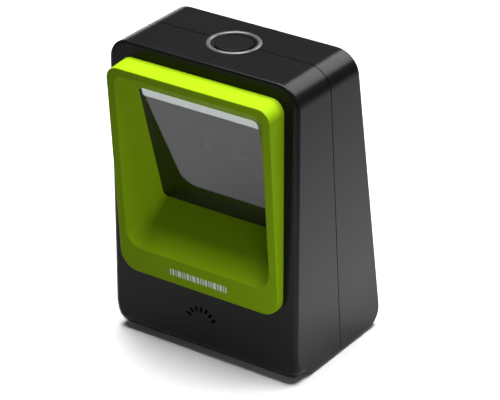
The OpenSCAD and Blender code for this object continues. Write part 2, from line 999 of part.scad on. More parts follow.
module speaker_frame() {
    y0 = pad_y + 0.8;
    color("gray")
    at_speaker() difference() {
        union() {
            rod_y([0, y0, 0], speaker_r, 2.4);
            rod_y([0, y0, 0], 6.5, 5.4);
        }
        rod_y([0, y0 - 1, 0], speaker_r - 1.2, 2.6);
    }
}

module speaker_cone() {
    y0 = pad_y + 0.8;
    color([0.1, 0.1, 0.1])
    at_speaker() {
        translate([0, y0 + 0.2, 0]) rotate([-90, 0, 0]) cylinder(r1 = speaker_r - 1.2, r2 = 4, h = 1.4);
    }
}

module speaker_clip() {
    color("silver")
    at_speaker() difference() {
        box([-clip_x - 2.6, clip_y, -3], [clip_x + 2.6, clip_y + clip_t, 3]);
        for (side = [-1, 1]) {
            rod_y([side * clip_x, clip_y - 1, 0], m2[0] + slack, 4);
        }
    }
}

module speaker_screws() {
    color("silver")
    at_speaker() for (side = [-1, 1]) {
        translate([side * clip_x, clip_y + clip_t, 0]) rotate([-90, 0, 0]) screw(m2, 5);
    }
}

module speaker_leads() {
    color("firebrick")
    in_case() for (side = [-1, 1]) {
        x = speaker_x + side * 1.2;
        end_x = -13 + side * 1.2;
        wire([[x, 6.9, speaker_z + 8], [x, 11, 31], [x - 3, 24, 33], [end_x, 36, 29],
            [end_x, 42.2, 27]], 0.5);
    }
}

// ---------------------------------------------------------------- assembly

front_shell();
rear_shell();
hood_bezel();
rim_mark();
window_glass();
window_gasket();
light_shroud();
light_diffuser();
led_board();
window_leds();
engine_bracket();
engine_housing();
lens_barrel();
engine_lens();
aimer();
engine_leds();
engine_board();
engine_cable();
led_cable();
button_cable();
button_ring();
button_cap();
button_board();
switch_body();
switch_plunger();
ring_leds();
main_board();
processor_shield();
board_parts();
cable_socket();
socket_contacts();
speaker_frame();
speaker_cone();
speaker_gasket();
speaker_clip();
speaker_leads();
ballast_plate();
rubber_feet();
case_screws();
bezel_screws();
shroud_screws();
bracket_screws();
engine_screws();
board_screws();
button_screws();
speaker_screws();
ballast_screws();
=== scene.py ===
import json
import math

import bmesh
import bpy
from mathutils import Matrix, Vector


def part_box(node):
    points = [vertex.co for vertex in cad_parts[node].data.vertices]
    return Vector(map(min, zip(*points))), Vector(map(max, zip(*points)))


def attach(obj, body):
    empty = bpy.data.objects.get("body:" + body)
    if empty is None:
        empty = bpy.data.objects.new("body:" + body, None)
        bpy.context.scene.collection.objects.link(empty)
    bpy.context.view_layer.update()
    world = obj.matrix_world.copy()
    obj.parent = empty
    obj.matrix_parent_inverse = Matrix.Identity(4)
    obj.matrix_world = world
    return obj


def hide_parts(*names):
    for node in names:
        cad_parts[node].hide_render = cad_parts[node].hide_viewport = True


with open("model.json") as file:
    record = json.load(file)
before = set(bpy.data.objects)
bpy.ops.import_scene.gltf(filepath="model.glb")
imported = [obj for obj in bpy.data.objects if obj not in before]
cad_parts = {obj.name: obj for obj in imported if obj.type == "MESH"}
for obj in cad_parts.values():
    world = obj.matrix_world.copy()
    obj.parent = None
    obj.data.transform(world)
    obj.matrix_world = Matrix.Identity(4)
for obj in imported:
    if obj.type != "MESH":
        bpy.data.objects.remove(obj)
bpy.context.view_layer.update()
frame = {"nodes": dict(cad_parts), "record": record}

# The looks of an upright counter-top barcode scanner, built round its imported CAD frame.
# Meshes are drawn in "case millimetres": y = 0 on the casing's flat front, z = 0 on the
# counter, x = 0 in the middle. place() brings each finished mesh into the frame, in metres.

MM = 0.001
casing_low, casing_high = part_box("front_shell")
TO_FRAME = Matrix.Translation((0, casing_low.y, 0)) @ Matrix.Scale(MM, 4)

# Casing. TOP_R rounds the two top corners seen from the front, TOE_R and HEEL_R the base seen
# from the side. The other radii round the edges. BALL_R is what UPRIGHT_R grows to at the front's
# bottom corners, over TOE_R + BALL_RISE of height, and falls from again over BALL_RUN of the base.
# The seam slants from SEAM_BASE to SEAM_TOP, with a groove along it and the rear shell's tongue
# reaching under the front shell.
HALF_W = casing_high.x / MM
BASE_Z = casing_low.z / MM
TOP_Z = casing_high.z / MM
DEPTH_TOP = 47
DEPTH_BASE = 71.5
WALL = 2.4
TOP_R = 11
TOE_R = 7
HEEL_R = 8
UPRIGHT_R = 2.5
FRONT_TOP_R = 1.2
UNDER_R = 1.6
BALL_R = 6.3
BALL_RISE = 6.5
BALL_RUN = 7
REAR_R = 1.0
REAR_TOP_R = 0.7
LEAST_R = 0.3
TOP_EASE = 1.6
SEAM_BASE = 37
SEAM_TOP = 24.8
GROOVE_W = 0.5
GROOVE_D = 0.9
TONGUE = 3
TONGUE_T = 1.3
TONGUE_GAP = 0.1
TONGUE_BACK = 0.4
ROOT_FROM = 0.2
REAR_SLOPE = math.atan((DEPTH_BASE - DEPTH_TOP) / (TOP_Z - BASE_Z))

# Case screws, feet, speaker and socket
SCREW_X = 44.2
SCREW_Z = (14, 126)
SCREWS = [(x, z) for x in (-SCREW_X, SCREW_X) for z in SCREW_Z]
SCREW_SEAT = 4.5
SCREW_REACH = 8
COUNTERBORE_R = 3.1
FOOT_X = 38
FOOT_Y = (13, 53)
SPEAKER = (-1.3, 16.1)
SLOTS = 7
SLOT_FAN = 62
SLOT_W = 1.25
SLOT_L = 2.9
SLOT_RADIUS = 7.65
PILOT_R = 1.6
FOOT_POCKET_R = 5.1
FOOT_POCKET_D = 0.8
BOSS_WALL = 1.2
BOSS_GAP = 0.3
SOCKET_Z = 20
SOCKET_HALF = (8.35, 7.15)
SOCKET_FACE = 62.4
COLLAR_WALL = 1.6
COLLAR_D = 4
NICHE_D = 5

# Hood and window. HOOD_REACH is how far the rim stands out at its foot and at its top, and
# HOOD_FALL how much it is shorter in front than at the shell, at either end. The mouth is the
# recess's opening, and the pane is what is seen of the window at its end. SPIGOT is the tube
# through the shell: half width, low, high, corner radius. The seat holds the window's edge.
HOOD_HALF = 43.1
HOOD_Z = (34.3, 138.9)
HOOD_FALL = (0.3, 0.9)
HOOD_REACH = (3.3, 11.35)
HOOD_TOP_R = 6.3
HOOD_FOOT_R = 9
HOOD_EDGE_R = 0.5
MOUTH_HALF = 38.7
MOUTH_Z = (47.5, 134.2)
MOUTH_TOP_R = 4.3
MOUTH_FOOT_R = 8
MOUTH_EDGE_R = 0.7
PANE_HALF = 31.4
PANE_TILT = math.radians(16)
PANE_Z = 97.2
PANE_Y = 5.4
PANE_R = 2.5
SPIGOT = (41.1, 45.1, 133.4, 4)
SPIGOT_L = 3.6
SPIGOT_WALL = 1.2
SPIGOT_ROOT = 0.8
SPIGOT_GAP = 0.1
SEAT_OUT = 4.0
SEAT_IN = 2.1
SEAT_D = 2.8

# Button
BUTTON_Y = 25
RING_R = 12.45
RING_IN_R = 10.35
RING_TOP = TOP_Z + 0.4
CAP_R = 10.05
CAP_TOP = TOP_Z - 0.1
CEILING = TOP_Z - WALL
SLIP = 0.12
RING_FLANGE_R = 14
RING_FLANGE_D = 1.2
RING_ROUND = 0.95
RING_ROOM_R = 14.6
RING_ROOM_D = 9
CAP_EDGE_R = 0.45
CAP_WALL = 1.4
CAP_TOP_T = 1.6
CAP_FLANGE = 0.95
CAP_FLANGE_T = 0.9
CAP_FLANGE_Z = CEILING - 1.4
CAP_STEM_R = 2.2
CAP_STEM_Z = CEILING - 3.5
AXIS_R = 0.05
DISH_EDGE = 1.1
DISH_FLOOR = 0.42
DISH_RISE = 0.36
DISH_CURVE = 2.5

# Steps in round stretches, and the angle from which an edge is shaded sharp
CORNER_STEPS = 12
FILLET_STEPS = 8
SIDE_STEPS = 10
UPRIGHT_STEPS = 10
FUNNEL_STEPS = 6
SLOT_END_STEPS = 8
DISH_STEPS = 16
TURNED_STEPS = 6
ROUND_STEPS = 96
BORE_STEPS = 48
PILOT_STEPS = 32
SHARP_ANGLE = math.radians(40)


# ------------------------------------------------------------------ geometry helpers

def slerp(a, b, t):
    """The unit vector a share t of the way from a to b."""
    angle = a.angle(b)
    return (a * math.sin((1 - t) * angle) + b * math.sin(t * angle)) / math.sin(angle)


def round_corner(before, at, after, radius, steps=FILLET_STEPS):
    """Points of the arc that rounds the corner `at`, in two or three dimensions."""
    a = (before - at).normalized()
    b = (after - at).normalized()
    half = a.angle(b) / 2
    middle = at + (a + b).normalized() * radius / math.sin(half)
    start = (at + a * radius / math.tan(half) - middle).normalized()
    end = (at + b * radius / math.tan(half) - middle).normalized()
    return [middle + slerp(start, end, i / steps) * radius for i in range(steps + 1)]


def panel(half, low, high, top_r, foot_r):
    """An upright panel's outline: (x, z, outward x, outward z), each straight side divided."""
    corners = (
        (half - top_r, high - top_r, top_r, 0),
        (top_r - half, high - top_r, top_r, 90),
        (foot_r - half, low + foot_r, foot_r, 180),
        (half - foot_r, low + foot_r, foot_r, 270),
    )
    arcs = []
    for x, z, radius, start in corners:
        turns = [math.radians(start + 90 * i / CORNER_STEPS) for i in range(CORNER_STEPS + 1)]
        arcs.append([(x + radius * math.cos(t), z + radius * math.sin(t), math.cos(t), math.sin(t))
                     for t in turns])
    outline = []
    for arc, following in zip(arcs, arcs[1:] + arcs[:1]):
        outline += arc
        a, b = arc[-1], following[0]
        for i in range(1, SIDE_STEPS):
            t = i / SIDE_STEPS
            outline.append(tuple(p + (q - p) * t for p, q in zip(a, b)))
    return outline


def hood_lean():
    """How far the rim's face leans back from upright."""
    rise = (HOOD_Z[1] - HOOD_FALL[1]) - (HOOD_Z[0] + HOOD_FALL[0])
    return math.atan((HOOD_REACH[1] - HOOD_REACH[0]) / rise)


def on_hood(x, depth, up):
    """A point given in the hood's own leaning coordinates."""
    lean = hood_lean()
    y = depth * math.cos(lean) - up * math.sin(lean)
    z = depth * math.sin(lean) + up * math.cos(lean)
    return Vector((x, y - HOOD_REACH[0], z + HOOD_Z[0] + HOOD_FALL[0]))


def along_hood(z):
    """A height, measured up the leaning face of the rim."""
    return (z - HOOD_Z[0] - HOOD_FALL[0]) / math.cos(hood_lean())


def in_window(x, depth, up):
    """A point given in the window's own tilted coordinates."""
    y = depth * math.cos(PANE_TILT) - up * math.sin(PANE_TILT)
    z = depth * math.sin(PANE_TILT) + up * math.cos(PANE_TILT)
    return Vector((x, y + PANE_Y, z + PANE_Z))


def solid(name, faces):
    """A closed mesh from faces that are lists of points."""
    bm = bmesh.new()
    for points in faces:
        bm.faces.new([bm.verts.new(p) for p in points])
    bmesh.ops.remove_doubles(bm, verts=bm.verts, dist=1e-4)
    bmesh.ops.recalc_face_normals(bm, faces=bm.faces)
    return from_bmesh(name, bm)


def from_bmesh(name, bm):
    """The edited mesh as an object in the scene; the editor's copy is freed."""
    mesh = bpy.data.meshes.new(name)
    bm.to_mesh(mesh)
    bm.free()
    obj = bpy.data.objects.new(name, mesh)
    bpy.context.scene.collection.objects.link(obj)
    return obj


def strip(a, b):
    """Quads between two open rows of points."""
    return [[a[i], a[i + 1], b[i + 1], b[i]] for i in range(len(a) - 1)]


def sleeve(loops, closed):
    """Quads between closed loops; closed joins the last loop to the first."""
    faces = []
    pairs = list(zip(loops, loops[1:]))
    if closed:
        pairs.append((loops[-1], loops[0]))
    for a, b in pairs:
        faces += strip(a + a[:1], b + b[:1])
    return faces


def lathe(name, profile, centre):
    """A closed profile of (radius, height) turned round an upright axis."""
    loops = []
    for i in range(ROUND_STEPS):
        turn = 2 * math.pi * i / ROUND_STEPS
        loops.append([Vector((centre[0] + r * math.cos(turn), centre[1] + r * math.sin(turn), z))
                      for r, z in profile])
    return solid(name, sleeve(loops, True))


def circle(centre, radius, steps):
    """Points of a circle, in two dimensions."""
    turns = [2 * math.pi * i / steps for i in range(steps)]
    return [(centre[0] + radius * math.cos(t), centre[1] + radius * math.sin(t)) for t in turns]


def rod(centre, radius, y0, y1, steps=PILOT_STEPS):
    """Faces of a cylinder along y."""
    return prism(circle(centre, radius, steps), y0, y1)


def post(centre, radius, z0, z1, steps=ROUND_STEPS):
    """Faces of a cylinder along z."""
    ends = [[Vector((x, y, z)) for x, y in circle(centre, radius, steps)] for z in (z0, z1)]
    return sleeve(ends, False) + ends


def prism(outline, y0, y1):
    """Faces of an outline in x and z, extruded along y."""
    ends = [[Vector((x, y, z)) for x, z in outline] for y in (y0, y1)]
    return sleeve(ends, False) + ends


def combine(target, tool, operation):
    """target with tool added, cut away or intersected. The tool is used up."""
    modifier = target.modifiers.new("combine", "BOOLEAN")
    modifier.operation = operation
    modifier.solver = "EXACT"
    modifier.object = tool
    graph = bpy.context.evaluated_depsgraph_get()
    mesh = bpy.data.meshes.new_from_object(target.evaluated_get(graph))
    target.modifiers.clear()
    target.data = mesh
    bpy.data.objects.remove(tool)
    return target


def place(obj, finish):
    """Moves a finished mesh into the frame, smooths it and gives it its material."""
    obj.data.transform(TO_FRAME)
    obj.data.polygons.foreach_set("use_smooth", [True] * len(obj.data.polygons))
    obj.data.set_sharp_from_angle(angle=SHARP_ANGLE)
    normals = obj.modifiers.new("normals", "WEIGHTED_NORMAL")
    normals.keep_sharp = True
    obj.data.materials.clear()
    obj.data.materials.append(finish)
    return obj


# ------------------------------------------------------------------ materials

def material(name):
    """A new node material: the material, its nodes, its links and its shader."""
    made = bpy.data.materials.new(name)
    made.use_nodes = True
    return made, made.node_tree.nodes, made.node_tree.links, made.node_tree.nodes["Principled BSDF"]


def noise(nodes, links, scale, detail=3.0, roughness=0.5, stretch=None):
    """A noise texture in object space; stretch scales it along each axis."""
    coords = nodes.new("ShaderNodeTexCoord")
    texture = nodes.new("ShaderNodeTexNoise")
    texture.inputs["Scale"].default_value = scale
    texture.inputs["Detail"].default_value = detail
    texture.inputs["Roughness"].default_value = roughness
    if stretch is None:
        links.new(coords.outputs["Object"], texture.inputs["Vector"])
    else:
        mapping = nodes.new("ShaderNodeMapping")
        mapping.inputs["Scale"].default_value = stretch
        links.new(coords.outputs["Object"], mapping.inputs["Vector"])
        links.new(mapping.outputs["Vector"], texture.inputs["Vector"])
    return texture


def spread(nodes, links, source, low, high, target, clip=(0.3, 0.7)):
    """Maps a noise's middle range to low..high on a shader input."""
    ramp = nodes.new("ShaderNodeMapRange")
    ramp.inputs["From Min"].default_value = clip[0]
    ramp.inputs["From Max"].default_value = clip[1]
    ramp.inputs["To Min"].default_value = low
    ramp.inputs["To Max"].default_value = high
    links.new(source, ramp.inputs["Value"])
    links.new(ramp.outputs["Result"], target)


def tint(nodes, links, source, dark, light, target):
    """A noise picks a colour between dark and light."""
    ramp = nodes.new("ShaderNodeValToRGB")
    ramp.color_ramp.elements[0].position = 0.35
    ramp.color_ramp.elements[0].color = (*dark, 1)
    ramp.color_ramp.elements[1].position = 0.65
    ramp.color_ramp.elements[1].color = (*light, 1)
    links.new(source, ramp.inputs["Fac"])
    links.new(ramp.outputs["Color"], target)


def bump(nodes, links, height, strength, distance, shader):
    """Roughens a surface by a texture's height, in metres."""
    node = nodes.new("ShaderNodeBump")
    node.inputs["Strength"].default_value = strength
    node.inputs["Distance"].default_value = distance
    links.new(height, node.inputs["Height"])
    links.new(node.outputs["Normal"], shader.inputs["Normal"])


def shade(colour, factor):
    """A colour made darker or lighter."""
    return tuple(min(1.0, c * factor) for c in colour)


def moulded(name, colour, rough, grain=0.00025, depth=0.000012, specular=0.5, vary=0.08, wear=0.04):
    """Injection-moulded plastic with a spark-eroded grain."""
    made, nodes, links, shader = material(name)
    cloud = noise(nodes, links, 35.0, 4.0)
    tint(nodes, links, cloud.outputs["Fac"], shade(colour, 1 - vary), shade(colour, 1 + vary),
         shader.inputs["Base Color"])
    rubbed = noise(nodes, links, 90.0, 5.0, 0.6)
    spread(nodes, links, rubbed.outputs["Fac"], rough - wear, rough + wear, shader.inputs["Roughness"])
    shader.inputs["Specular IOR Level"].default_value = specular
    fine = noise(nodes, links, 1 / grain, 2.0)
    bump(nodes, links, fine.outputs["Fac"], 0.6, depth, shader)
    return made


def metal(name, colour, rough, stretch=(1, 1, 1)):
    """Plated or rolled metal with fine drawn lines."""
    made, nodes, links, shader = material(name)
    shader.inputs["Metallic"].default_value = 1.0
    lines = noise(nodes, links, 900.0, 4.0, 0.6, stretch)
    tint(nodes, links, lines.outputs["Fac"], shade(colour, 0.88), shade(colour, 1.08),
         shader.inputs["Base Color"])
    spread(nodes, links, lines.outputs["Fac"], rough - 0.06, rough + 0.08, shader.inputs["Roughness"])
    bump(nodes, links, lines.outputs["Fac"], 0.25, 0.00001, shader)
    return made


def clear_glass(name, colour):
    """Coated glass: clear, with the faintest smears in its polish."""
    made, nodes, links, shader = material(name)
    shader.inputs["Base Color"].default_value = (*colour, 1)
    shader.inputs["Transmission Weight"].default_value = 1.0
    shader.inputs["IOR"].default_value = 1.52
    smear = noise(nodes, links, 60.0, 3.0, 0.5, (1, 3, 1))
    spread(nodes, links, smear.outputs["Fac"], 0, 0.02, shader.inputs["Roughness"])
    return made


def milky(name, colour, painted_glow=0.0):
    """Milky light guide or diffuser. A painted_glow above zero makes it emit light: a painted glow
    standing in for light shining through it, not a lamp.
    """
    made, nodes, links, shader = material(name)
    cloud = noise(nodes, links, 400.0, 3.0)
    tint(nodes, links, cloud.outputs["Fac"], shade(colour, 0.95), shade(colour, 1.03),
         shader.inputs["Base Color"])
    shader.inputs["Roughness"].default_value = 0.35
    # Emission here is painted glow, not a lamp: it stands in for light passing through the part.
    shader.inputs["Emission Color"].default_value = (*colour, 1)
    shader.inputs["Emission Strength"].default_value = painted_glow
    bump(nodes, links, cloud.outputs["Fac"], 0.2, 0.00002, shader)
    return made


def circuit(name, colour):
    """Solder mask with the tracks showing through it as a lighter green."""
    made, nodes, links, shader = material(name)
    coords = nodes.new("ShaderNodeTexCoord")
    tracks = nodes.new("ShaderNodeTexBrick")
    tracks.inputs["Scale"].default_value = 260.0
    tracks.inputs["Mortar Size"].default_value = 0.06
    tracks.inputs["Color1"].default_value = (*colour, 1)
    tracks.inputs["Color2"].default_value = (*shade(colour, 0.8), 1)
    tracks.inputs["Mortar"].default_value = (*shade(colour, 1.7), 1)
    links.new(coords.outputs["Object"], tracks.inputs["Vector"])
    links.new(tracks.outputs["Color"], shader.inputs["Base Color"])
    shader.inputs["Roughness"].default_value = 0.3
    bump(nodes, links, tracks.outputs["Fac"], 0.3, 0.00002, shader)
    return made


def ribbon(name, colour):
    """A flat cable whose conductors show as lines along it."""
    made, nodes, links, shader = material(name)
    coords = nodes.new("ShaderNodeTexCoord")
    wave = nodes.new("ShaderNodeTexWave")
    wave.bands_direction = "X"
    wave.inputs["Scale"].default_value = 320.0
    links.new(coords.outputs["Object"], wave.inputs["Vector"])
    tint(nodes, links, wave.outputs["Fac"], shade(colour, 0.75), colour, shader.inputs["Base Color"])
    shader.inputs["Roughness"].default_value = 0.4
    bump(nodes, links, wave.outputs["Fac"], 0.4, 0.00005, shader)
    return made


BLACK = (0.0065, 0.0065, 0.0071)
GREEN = (0.24, 0.40, 0.006)

casing_finish = moulded("casing_plastic", BLACK, 0.25, specular=0.11, depth=0.000003, wear=0.012)
hood_finish = moulded("hood_plastic", GREEN, 0.36, depth=0.000004, specular=0.025, vary=0.03, wear=0.02)
inner_finish = moulded("inner_plastic", (0.006, 0.006, 0.006), 0.55)
cap_finish = moulded("cap_plastic", shade(BLACK, 1.3), 0.22, specular=0.15, depth=0.000004)
print_finish = moulded("print_ink", (0.74, 0.78, 0.74), 0.5, depth=0.000004)
foot_finish = moulded("foot_rubber", (0.012, 0.012, 0.012), 0.7, grain=0.0006)
seal_finish = moulded("seal_foam", (0.006, 0.006, 0.006), 0.85, grain=0.0008, depth=0.00005)
chip_finish = moulded("chip_epoxy", (0.012, 0.012, 0.013), 0.5)
aimer_finish = moulded("aimer_plastic", (0.35, 0.01, 0.01), 0.2)
lead_finish = moulded("lead_insulation", (0.40, 0.02, 0.02), 0.45)
cone_finish = moulded("cone_paper", (0.02, 0.02, 0.02), 0.8, grain=0.0012, depth=0.00006)
led_finish = milky("led_package", (0.40, 0.37, 0.24))
# Painted glow: the diffuser emits light as a stand-in for the LEDs' light shining through it.
diffuser_painted_glow_finish = milky("diffuser_milky_painted_glow", (0.80, 0.84, 0.82), 8.5)
board_finish = circuit("board_mask", (0.01, 0.12, 0.04))
ribbon_finish = ribbon("ribbon_cable", (0.75, 0.75, 0.72))
steel_finish = metal("zinc_steel", (0.62, 0.62, 0.63), 0.32, (1, 12, 1))
screw_finish = metal("screw_steel", (0.40, 0.40, 0.40), 0.28)
black_screw_finish = metal("black_oxide", (0.06, 0.06, 0.06), 0.35)
ballast_finish = metal("rolled_steel", (0.45, 0.46, 0.48), 0.45, (10, 1, 1))
gold_finish = metal("gold_plate", (0.83, 0.60, 0.24), 0.22)
ring_finish = moulded("ring_plastic", (0.067, 0.067, 0.069), 0.25, depth=0.000002, vary=0.03)
glass_finish = clear_glass("window_tint", (0.06, 0.0615, 0.0615))
lens_finish = clear_glass("lens_coating", (0.55, 0.45, 0.85))


# ------------------------------------------------------------------ casing

def rear_plane(inset):
    """A point on the rear plane moved inwards, and its outward normal."""
    point = Vector((0, DEPTH_BASE - inset / math.cos(REAR_SLOPE), BASE_Z))
    return point, Vector((0, math.cos(REAR_SLOPE), math.sin(REAR_SLOPE)))


def rim_ring(x, z, nx, nz, point, normal, radius):
    """The arc that rounds the edge between a surface along y and a plane."""
    side = Vector((nx, 0, nz))
    cx, cz = x - radius * nx, z - radius * nz
    cy = point.y + (-radius - (cz - point.z) * normal.z) / normal.y
    centre = Vector((cx, cy, cz))
    return [centre + slerp(normal, side, k / FILLET_STEPS) * radius for k in range(FILLET_STEPS + 1)]


def smooth(a, b, t):
    """From a to b as t goes from 0 to 1, level at both ends."""
    return a + (b - a) * t * t * (3 - 2 * t)


def ball(height):
    """The rounded edge's radius near the front's bottom corners, by height above the base."""
    return smooth(BALL_R, UPRIGHT_R, min(1.0, height / (TOE_R + BALL_RISE)))


def side_path(inset, radius_of):
    """The side face's outline from the front's shoulder round the base to the rear's
    shoulder: (y, z, outward y, outward z, radius of the rounded edge)."""
    low = BASE_Z + inset
    shoulder = TOP_Z - TOP_R
    rear_point, rear_normal = rear_plane(inset)
    toe, heel = radius_of(TOE_R), radius_of(HEEL_R)
    path = [(inset, shoulder, -1, 0, radius_of(UPRIGHT_R))]
    for i in range(UPRIGHT_STEPS):
        t = i / UPRIGHT_STEPS
        rise = toe + BALL_RISE * (1 - t)
        path.append((inset, low + rise, -1, 0, radius_of(ball(rise))))
    for i in range(CORNER_STEPS + 1):
        turn = math.radians(180 + 90 * i / CORNER_STEPS)
        rise = toe + toe * math.sin(turn)
        path.append((inset + toe + toe * math.cos(turn), low + rise,
                     math.cos(turn), math.sin(turn), radius_of(ball(rise))))
    for i in range(1, CORNER_STEPS + 1):
        t = i / CORNER_STEPS
        path.append((inset + toe + BALL_RUN * t, low, 0, -1, radius_of(smooth(BALL_R, UNDER_R, t))))
    cz = low + heel
    cy = rear_point.y + (-heel - (cz - rear_point.z) * rear_normal.z) / rear_normal.y
    for i in range(CORNER_STEPS + 1):
        t = i / CORNER_STEPS
        turn = math.radians(-90) + (math.radians(90) + REAR_SLOPE) * t
        path.append((cy + heel * math.cos(turn), cz + heel * math.sin(turn),
                     math.cos(turn), math.sin(turn), radius_of(UNDER_R + (REAR_R - UNDER_R) * t)))
    rear = radius_of(REAR_R)
    centre_y = rear_point.y + (-rear - (shoulder - rear_point.z) * rear_normal.z) / rear_normal.y
    path.append((centre_y + rear * rear_normal.y, shoulder + rear * rear_normal.z,
                 rear_normal.y, rear_normal.z, rear))
    return path


def top_outline(half, corner):
    """The top's outline seen from the front, from right to left: (x, z, outward x, outward z,
    how far round from upright to level)."""
    shoulder = TOP_Z - TOP_R
    outline = []
    for side, start in ((1, 0), (-1, 90)):
        for i in range(CORNER_STEPS + 1):
            t = i / CORNER_STEPS
            turn = math.radians(start + 90 * t)
            up = t if side > 0 else 1 - t
            outline.append((side * (half - corner) + corner * math.cos(turn),
                            shoulder + corner * math.sin(turn), math.cos(turn), math.sin(turn), up))
    return outline


def side_rings(side, half, path):
    """The arcs that round the side face's edge, from the edge's other face to the side."""
    turns = [math.pi / 2 * k / FILLET_STEPS for k in range(FILLET_STEPS + 1)]
    return [[Vector((side * (half - radius * (1 - math.sin(t))),
                     y - ny * radius * (1 - math.cos(t)),
                     z - nz * radius * (1 - math.cos(t)))) for t in turns]
            for y, z, ny, nz, radius in path]


def casing_block(name, inset=0.0):
    """The casing's whole outside with every edge rounded, or the same moved inwards."""
    def radius_of(radius):
        return max(radius - inset, LEAST_R)

    def top_rings(point, normal, upright, level):
        reach = radius_of(level) - radius_of(upright)
        return [rim_ring(x, z, nx, nz, point, normal,
                         radius_of(upright) + reach * min(1.0, up * TOP_EASE))
                for x, z, nx, nz, up in outline]

    half = HALF_W - inset
    outline = top_outline(half, TOP_R - inset)
    front = top_rings(Vector((0, inset, 0)), Vector((0, -1, 0)), UPRIGHT_R, FRONT_TOP_R)
    rear = top_rings(*rear_plane(inset), REAR_R, REAR_TOP_R)
    path = side_path(inset, radius_of)
    sides = [side_rings(side, half, path) for side in (1, -1)]
    faces = []
    for rings in (front, rear, *sides):
        for a, b in zip(rings, rings[1:]):
            faces += strip(a, b)
    faces += strip([ring[-1] for ring in front], [ring[-1] for ring in rear])
    right, left = ([ring[0] for ring in rings] for rings in sides)
    toe_at = 1 + UPRIGHT_STEPS
    faces += strip(right[toe_at:-1], left[toe_at:-1])
    faces += [[ring[-1] for ring in rings] for rings in sides]
    faces.append([ring[0] for ring in front] + left[1:toe_at + 1] + right[toe_at:0:-1])
    faces.append([ring[0] for ring in rear] + [left[-2], right[-2]])
    return solid(name, faces)


def seam_y(z):
    """Where the seam between the shells crosses a height."""
    return SEAM_BASE + (SEAM_TOP - SEAM_BASE) * (z - BASE_Z) / (TOP_Z - BASE_Z)


def cut_at_seam(obj, offset, keep):
    """Keeps the part of a convex block "before" or "behind" the seam plane moved by offset,
    and closes it along the cut."""
    normal = Vector((0, TOP_Z - BASE_Z, SEAM_BASE - SEAM_TOP)).normalized()
    bm = bmesh.new()
    bm.from_mesh(obj.data)
    cut = bmesh.ops.bisect_plane(
        bm, geom=bm.verts[:] + bm.edges[:] + bm.faces[:], dist=1e-4,
        plane_co=Vector((0, seam_y(BASE_Z) + offset, BASE_Z)), plane_no=normal,
        clear_outer=keep == "before", clear_inner=keep == "behind")
    edges = [e for e in cut["geom_cut"] if isinstance(e, bmesh.types.BMEdge)]
    bmesh.ops.contextual_create(bm, geom=edges)
    bmesh.ops.recalc_face_normals(bm, faces=bm.faces)
    bm.to_mesh(obj.data)
    bm.free()
    return obj


def foot_pockets():
    """The round pockets in the base that take the rubber feet."""
    faces = []
    for x in (-FOOT_X, FOOT_X):
        for y in FOOT_Y:
            faces += post((x, y), FOOT_POCKET_R, -1, BASE_Z + FOOT_POCKET_D, BORE_STEPS)
    return faces


def speaker_slots():
    """Round-ended slots in a fan above the speaker's middle."""
    faces = []
    for i in range(SLOTS):
        turn = math.radians(SLOT_FAN - 2 * SLOT_FAN * i / (SLOTS - 1))
        outline = []
        for end, start in ((1, 0), (-1, 180)):
            for k in range(SLOT_END_STEPS + 1):
                t = math.radians(start + 180 * k / SLOT_END_STEPS)
                across = SLOT_W / 2 * math.cos(t)
                out = SLOT_RADIUS + end * (SLOT_L - SLOT_W) / 2 + SLOT_W / 2 * math.sin(t)
                outline.append((SPEAKER[0] + out * math.sin(turn) + across * math.cos(turn),
                                SPEAKER[1] + out * math.cos(turn) - across * math.sin(turn)))
        faces += prism(outline, -1, 2 * WALL)
    return faces


def socket_outline(grow):
    """The socket's niche seen from behind, or larger by grow."""
    half_x, half_z = (v + grow for v in SOCKET_HALF)
    return [(-half_x, SOCKET_Z - half_z), (half_x, SOCKET_Z - half_z),
            (half_x, SOCKET_Z + half_z), (-half_x, SOCKET_Z + half_z)]


def ring_hole():
    """The cutter for the button ring's hole in the top."""
    return solid("ring_hole", post((0, BUTTON_Y), RING_R + SLIP, CEILING - 1, TOP_Z + 3))


def half_casing(name, keep):
    """The hollow casing on one side of the seam, with its half of the groove along it."""
    shift = GROOVE_W / 2 if keep == "behind" else -GROOVE_W / 2
    shell = cut_at_seam(casing_block(name), shift, keep)
    combine(shell, cut_at_seam(casing_block("lip", GROOVE_D), 0, keep), "UNION")
    return combine(shell, casing_block("hollow", WALL), "DIFFERENCE")


def front_shell():
    """The casing before the seam, open for the hood's spigot, the speaker and the feet."""
    shell = half_casing("front_shell_skin", "before")
    half, low, high, radius = SPIGOT
    opening = panel(half + SPIGOT_GAP, low - SPIGOT_GAP, high + SPIGOT_GAP, radius, radius)
    tools = prism([(x, z) for x, z, _, _ in opening], -1, WALL + 1) + speaker_slots() + foot_pockets()
    combine(shell, solid("openings", tools), "DIFFERENCE")
    return combine(shell, ring_hole(), "DIFFERENCE")


def inner_posts():
    """The screws' posts and the collar round the socket, up to the middle of the wall."""
    faces = []
    for x, z in SCREWS:
        faces += rod((x, z), COUNTERBORE_R + BOSS_WALL, seam_y(z) + BOSS_GAP, 2 * DEPTH_BASE)
    faces += prism(socket_outline(COLLAR_WALL), SOCKET_FACE - COLLAR_D, 2 * DEPTH_BASE)
    return combine(solid("posts", faces), casing_block("trim", WALL / 2), "INTERSECT")


def seam_tongue():
    """The rear shell's inner lip, which reaches under the front shell's edge."""
    tongue = cut_at_seam(casing_block("tongue", WALL + TONGUE_GAP), -TONGUE, "behind")
    cut_at_seam(tongue, TONGUE_BACK, "before")
    root = cut_at_seam(casing_block("root", WALL / 2), ROOT_FROM, "behind")
    cut_at_seam(root, TONGUE, "before")
    combine(tongue, root, "UNION")
    return combine(tongue, casing_block("hollow", WALL + TONGUE_T), "DIFFERENCE")


